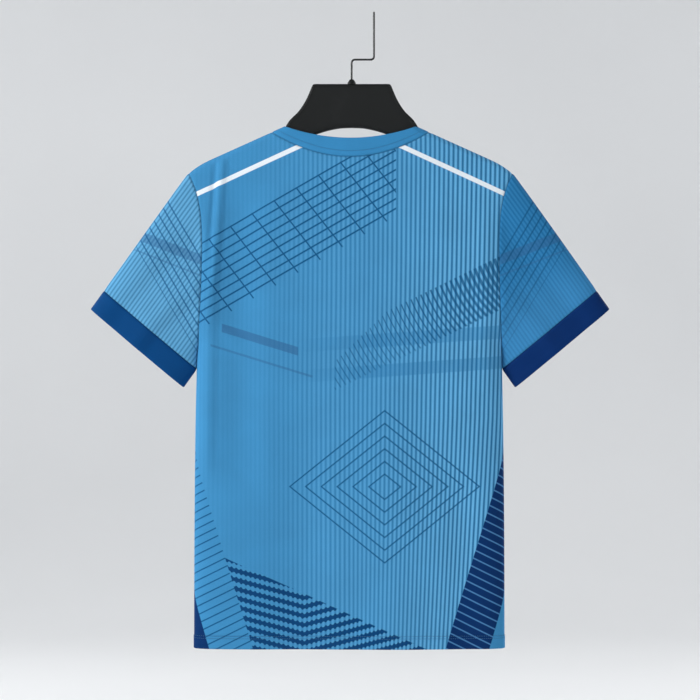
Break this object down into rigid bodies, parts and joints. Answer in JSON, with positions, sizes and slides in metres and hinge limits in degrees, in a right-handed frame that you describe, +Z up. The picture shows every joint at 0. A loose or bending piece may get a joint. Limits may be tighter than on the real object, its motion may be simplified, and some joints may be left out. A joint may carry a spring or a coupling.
{
  "type": "sports t-shirt on a hanger",
  "caption": "Short-sleeved sports t-shirt with a plain round collar band and dark cuffs, empty and open at neck, hem and cuffs, on a flat plastic hanger with a wire hook.",
  "frame": {"origin": "inside top of the hanger's hook, where a rail or wall wire carries it", "axes": "+Z up along the shirt's length, +X to the right as the back is seen, -Y out of the shirt's back, towards the viewer"},
  "size_m": [0.7032, 0.0683, 0.8743],
  "materials": {
    "shirt_cloth": null,
    "cuff_cloth": "navy polyester knit",
    "collar_cloth": "plain blue polyester knit",
    "black_plastic": "satin black moulded plastic",
    "black_wire": "black coated steel wire"
  },
  "bodies": {
    "root": {"back_panel": "shirt_cloth", "front_panel": "shirt_cloth", "sleeve_left": "shirt_cloth", "sleeve_right": "shirt_cloth", "cuff_left": "cuff_cloth", "cuff_right": "cuff_cloth", "collar": "collar_cloth", "hanger_body": "black_plastic", "hanger_knob": "black_plastic", "hanger_hook": "black_wire"}
  },
  "joints": []
}
